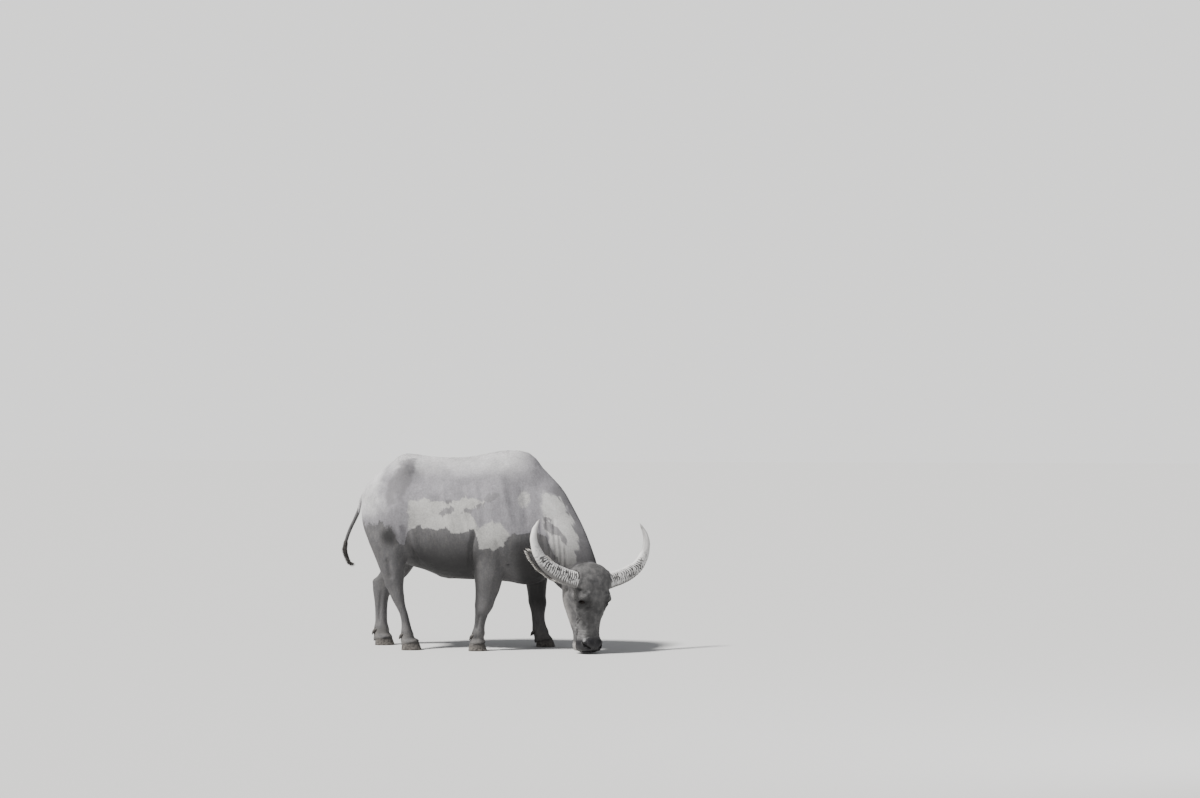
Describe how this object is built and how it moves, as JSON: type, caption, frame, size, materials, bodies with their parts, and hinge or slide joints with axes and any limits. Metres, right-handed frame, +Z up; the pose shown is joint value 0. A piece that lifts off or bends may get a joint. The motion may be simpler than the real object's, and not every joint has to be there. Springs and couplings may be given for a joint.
{
  "type": "life-size grazing water buffalo figure",
  "caption": "Life-size swamp-type water buffalo standing with its head lowered to graze and turned to its right, with ridged crescent horns, cloven feet and a thin tail.",
  "frame": {"origin": "middle of the bounding box at the level of the soles", "axes": "+X towards the front of the animal, +Y to its left, +Z up"},
  "size_m": [2.0784, 0.903, 1.3087],
  "materials": {
    "skin": "dry, creased slate-grey hide with sparse short hair and dried mud",
    "horn": "weathered horn with cross ridges",
    "hoof": "dull, dusty hoof horn",
    "eye": "wet, dark",
    "hair": "coarse dark hair"
  },
  "bodies": {
    "root": {"torso": "skin", "neck": "skin", "head": "skin", "ear_left": "skin", "ear_right": "skin", "eye_left": "eye", "eye_right": "eye", "horn_left": "horn", "horn_right": "horn", "tail": "skin", "tail_switch": "hair", "leg_fore_right": "skin", "claw_fore_right_outer": "hoof", "dewclaw_fore_right_outer": "hoof", "claw_fore_right_inner": "hoof", "dewclaw_fore_right_inner": "hoof", "leg_fore_left": "skin", "claw_fore_left_outer": "hoof", "dewclaw_fore_left_outer": "hoof", "claw_fore_left_inner": "hoof", "dewclaw_fore_left_inner": "hoof", "leg_hind_right": "skin", "claw_hind_right_outer": "hoof", "dewclaw_hind_right_outer": "hoof", "claw_hind_right_inner": "hoof", "dewclaw_hind_right_inner": "hoof", "leg_hind_left": "skin", "claw_hind_left_outer": "hoof", "dewclaw_hind_left_outer": "hoof", "claw_hind_left_inner": "hoof", "dewclaw_hind_left_inner": "hoof"}
  },
  "joints": []
}
